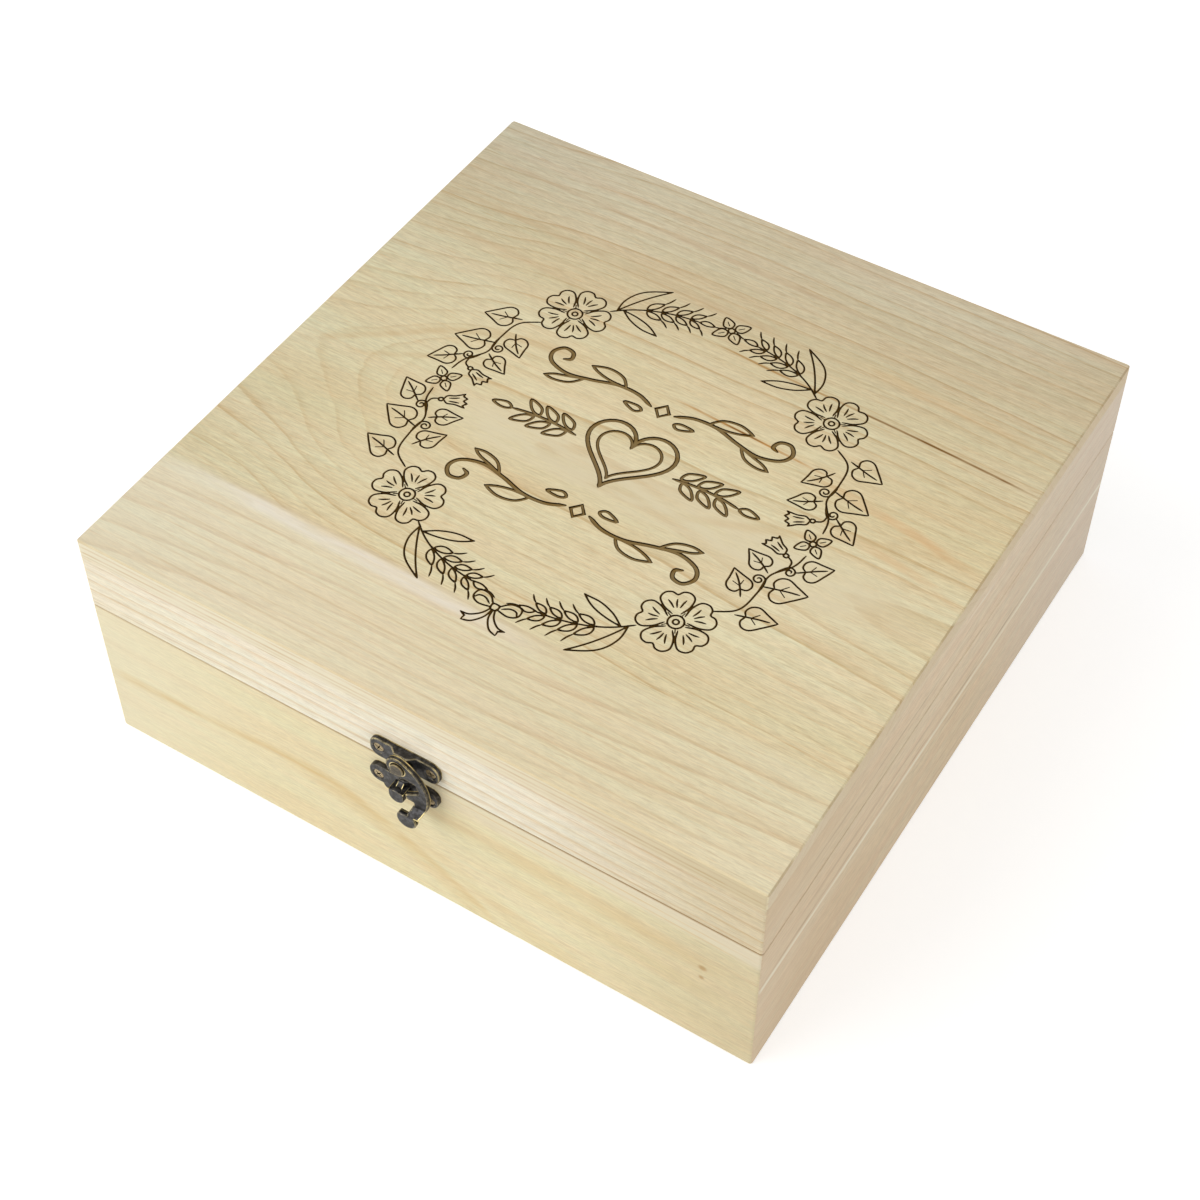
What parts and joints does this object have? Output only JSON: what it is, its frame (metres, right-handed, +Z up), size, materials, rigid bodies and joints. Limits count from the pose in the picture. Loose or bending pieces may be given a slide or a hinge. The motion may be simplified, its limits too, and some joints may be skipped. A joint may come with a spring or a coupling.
{
  "type": "keepsake box",
  "caption": "Square, shallow wooden box with a hinged lid and an antique-bronze swing-hook catch, for papers and keepsakes.",
  "frame": {"origin": "middle of the box's underside, where it rests", "axes": "+Z up; +X to the right seen from the front; +Y to the back, so the catch is on the -Y face"},
  "size_m": [0.275, 0.2881, 0.105],
  "materials": {
    "lid_pine": "sanded, unpainted, matte",
    "base_pine": "sanded, unpainted, matte",
    "bottom_plywood": "sanded plywood, matte",
    "antique_bronze": "dark antique bronze plating, worn bright on its edges",
    "screw_brass": "tarnished brass plating",
    "rivet_brass": "brown antique plating",
    "hinge_pin_brass": "brown antique plating"
  },
  "bodies": {
    "base": {"base_front_wall": "base_pine", "base_back_wall": "base_pine", "base_left_wall": "base_pine", "base_right_wall": "base_pine", "base_bottom_panel": "bottom_plywood", "catch_stud_plate": "antique_bronze", "stud_plate_screws": "screw_brass", "hinge_left_base_leaf": "antique_bronze", "hinge_right_base_leaf": "antique_bronze", "hinge_left_pin": "hinge_pin_brass", "hinge_right_pin": "hinge_pin_brass", "hinge_base_screws": "screw_brass"},
    "lid": {"lid_front_rail": "lid_pine", "lid_back_rail": "lid_pine", "lid_left_rail": "lid_pine", "lid_right_rail": "lid_pine", "lid_top_panel": "lid_pine", "catch_hook_plate": "antique_bronze", "hook_plate_screws": "screw_brass", "catch_rivet": "rivet_brass", "hinge_left_lid_leaf": "antique_bronze", "hinge_right_lid_leaf": "antique_bronze", "hinge_lid_screws": "screw_brass"},
    "hook": {"catch_hook": "antique_bronze"}
  },
  "joints": [
    {"name": "lid_hinge", "type": "hinge", "parent": "base", "child": "lid", "pos_m": [0, 0.1396, 0.07055], "axis": [-1, 0, 0], "range_deg": [0, 180]},
    {"name": "hook_swing", "type": "hinge", "parent": "lid", "child": "hook", "pos_m": [0.0009, -0.1434, 0.078], "axis": [0, -1, 0], "range_deg": [0, 285]}
  ]
}
